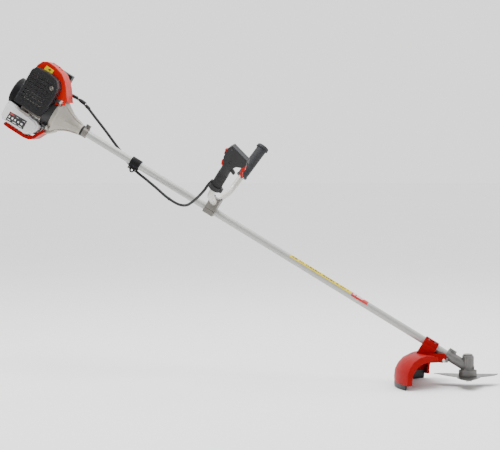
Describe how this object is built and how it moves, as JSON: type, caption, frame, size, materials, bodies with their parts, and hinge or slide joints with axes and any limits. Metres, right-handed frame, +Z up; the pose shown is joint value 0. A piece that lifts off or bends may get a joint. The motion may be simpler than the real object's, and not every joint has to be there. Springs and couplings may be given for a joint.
{
  "type": "string trimmer",
  "caption": "Petrol string trimmer: engine and tank on a long tubular shaft with U handlebar, throttle grip, harness eye, curved guard and horizontal cutting blade.",
  "frame": {"origin": "on the spindle axis, at the lower free end of the threaded spindle", "axes": "+Z up along the spindle, which is square to the ground in the working stance; +X from the engine towards the blade, level; +Y to the operator's left"},
  "size_m": [1.7159, 0.607, 1.1078],
  "materials": {
    "alu_tube": "satin",
    "rubber_black": "matte",
    "rubber_grip": "matte",
    "steel": "satin",
    "bright_steel": "satin",
    "cast_dark": "cast",
    "cast_grey": "cast",
    "cast_black": "cast",
    "blade_steel": "brushed",
    "red_plastic": "gloss",
    "black_plastic": "fine grained",
    "handle_plastic": "fine grained",
    "muffler_steel": "heat stained",
    "tank_plastic": "satin, milky",
    "bulb": "soft",
    "foam": "open cell foam",
    "ceramic": "glazed",
    "red_paint": "gloss",
    "reel_plastic": "satin"
  },
  "bodies": {
    "frame": {"shaft_tube": "alu_tube", "shaft_bushes": "rubber_black", "gear_case": "cast_dark", "shaft_bearings": "bright_steel", "guard_bracket": "red_plastic", "guard_clamp": "red_plastic", "blade_guard": "red_plastic", "guard_skirt": "black_plastic", "fixing_screws": "bright_steel", "clutch_housing": "cast_grey", "vibration_ring": "rubber_black", "shaft_clamp": "alu_tube", "fan_housing": "cast_black", "crankcase": "cast_grey", "cylinder_block": "cast_grey", "piston": "bright_steel", "connecting_rod": "steel", "spark_plug": "ceramic", "plug_cap": "rubber_black", "ignition_coil": "black_plastic", "muffler": "muffler_steel", "muffler_guard": "black_plastic", "engine_cover": "red_plastic", "starter_housing": "black_plastic", "recoil_spring": "steel", "carburettor": "cast_grey", "primer_bulb": "bulb", "air_filter_base": "black_plastic", "filter_element": "foam", "fuel_tank": "tank_plastic", "tank_guard": "red_paint", "throttle_cable": "rubber_black", "hanger_clamp": "black_plastic", "bar_bracket": "cast_grey", "handlebar_left": "alu_tube", "handlebar_right": "alu_tube", "left_grip": "rubber_grip", "throttle_handle": "handle_plastic"},
    "spindle_set": {"spindle": "bright_steel", "bevel_gear": "steel", "inner_flange": "cast_dark", "blade": "blade_steel", "outer_washer": "steel", "blade_nut": "bright_steel"},
    "drive_line": {"drive_shaft": "steel", "pinion_gear": "steel", "clutch_drum": "steel"},
    "crank": {"crankshaft": "bright_steel", "flywheel": "cast_grey"},
    "shoe_a": {"clutch_shoe_a": "steel"},
    "shoe_b": {"clutch_shoe_b": "steel"},
    "reel": {"starter_reel": "reel_plastic"},
    "pull": {"starter_handle": "black_plastic"},
    "trigger": {"trigger": "red_plastic"},
    "lockout": {"lockout": "red_plastic"},
    "switch": {"stop_switch": "red_plastic"},
    "carb_arm": {"throttle_arm": "steel"},
    "choke": {"choke_lever": "black_plastic"},
    "tank_cap": {"fuel_cap": "black_plastic"},
    "filter_cover": {"air_filter_cover": "black_plastic"}
  },
  "joints": [
    {"name": "spindle_spin", "type": "hinge", "parent": "frame", "child": "spindle_set", "pos_m": [0, 0, 0.05], "axis": [0, 0, 1], "continuous": true},
    {"name": "drive_spin", "type": "hinge", "parent": "frame", "child": "drive_line", "pos_m": [0, 0, 0.05], "axis": [0.8572, 0, -0.515], "continuous": true},
    {"name": "crank_spin", "type": "hinge", "parent": "frame", "child": "crank", "pos_m": [-1.49576, 0, 0.94874], "axis": [0.8572, 0, -0.515], "continuous": true},
    {"name": "shoe_a_swing", "type": "hinge", "parent": "crank", "child": "shoe_a", "pos_m": [-1.42154, 0.022, 0.88781], "axis": [-0.8572, 0, 0.515], "range_deg": [0, 2], "stiffness_Nm_per_rad": 1.5, "springref_deg": -5.73},
    {"name": "shoe_b_swing", "type": "hinge", "parent": "crank", "child": "shoe_b", "pos_m": [-1.40712, -0.022, 0.91181], "axis": [-0.8572, 0, 0.515], "range_deg": [0, 2], "stiffness_Nm_per_rad": 1.5, "springref_deg": -5.73},
    {"name": "starter_pull", "type": "slide", "parent": "frame", "child": "pull", "axis": [0, 1, 0], "range_m": [0, 0.05], "stiffness_N_per_m": 60, "springref_m": -0.03},
    {"name": "reel_spin", "type": "hinge", "parent": "frame", "child": "reel", "pos_m": [-1.54804, 0, 0.98016], "axis": [-0.8572, 0, 0.515], "range_deg": [0, 100]},
    {"name": "trigger_pull", "type": "hinge", "parent": "frame", "child": "trigger", "pos_m": [-0.72694, -0.27337, 0.7454], "axis": [0.2045, 0.9326, 0.2975], "range_deg": [0, 14], "stiffness_Nm_per_rad": 0.6, "springref_deg": -8.59},
    {"name": "lockout_press", "type": "hinge", "parent": "frame", "child": "lockout", "pos_m": [-0.79158, -0.26326, 0.75815], "axis": [-0.2045, -0.9326, -0.2975], "range_deg": [0, 6], "stiffness_Nm_per_rad": 0.3, "springref_deg": -8.59},
    {"name": "switch_slide", "type": "slide", "parent": "frame", "child": "switch", "axis": [0.5282, -0.361, 0.7686], "range_m": [0, 0.004]},
    {"name": "carb_arm_turn", "type": "hinge", "parent": "frame", "child": "carb_arm", "pos_m": [-1.45046, 0.066, 0.98919], "axis": [0.8572, 0, -0.515], "range_deg": [0, 40]},
    {"name": "choke_turn", "type": "hinge", "parent": "frame", "child": "choke", "pos_m": [-1.48543, 0.08, 1.01253], "axis": [0, 1, 0], "range_deg": [0, 55]},
    {"name": "tank_cap_turn", "type": "hinge", "parent": "frame", "child": "tank_cap", "pos_m": [-1.58118, 0.078, 0.92307], "axis": [0, 1, 0], "range_deg": [0, 180]},
    {"name": "filter_cover_off", "type": "slide", "parent": "frame", "child": "filter_cover", "axis": [0, 1, 0], "range_m": [0, 0.06]}
  ],
  "couplings": [
    {"joint": "drive_spin", "follows": "spindle_spin", "ratio": 1.3077},
    {"joint": "reel_spin", "follows": "starter_pull", "rad_per_m": 31.646},
    {"joint": "carb_arm_turn", "follows": "trigger_pull", "ratio": 2.5}
  ]
}
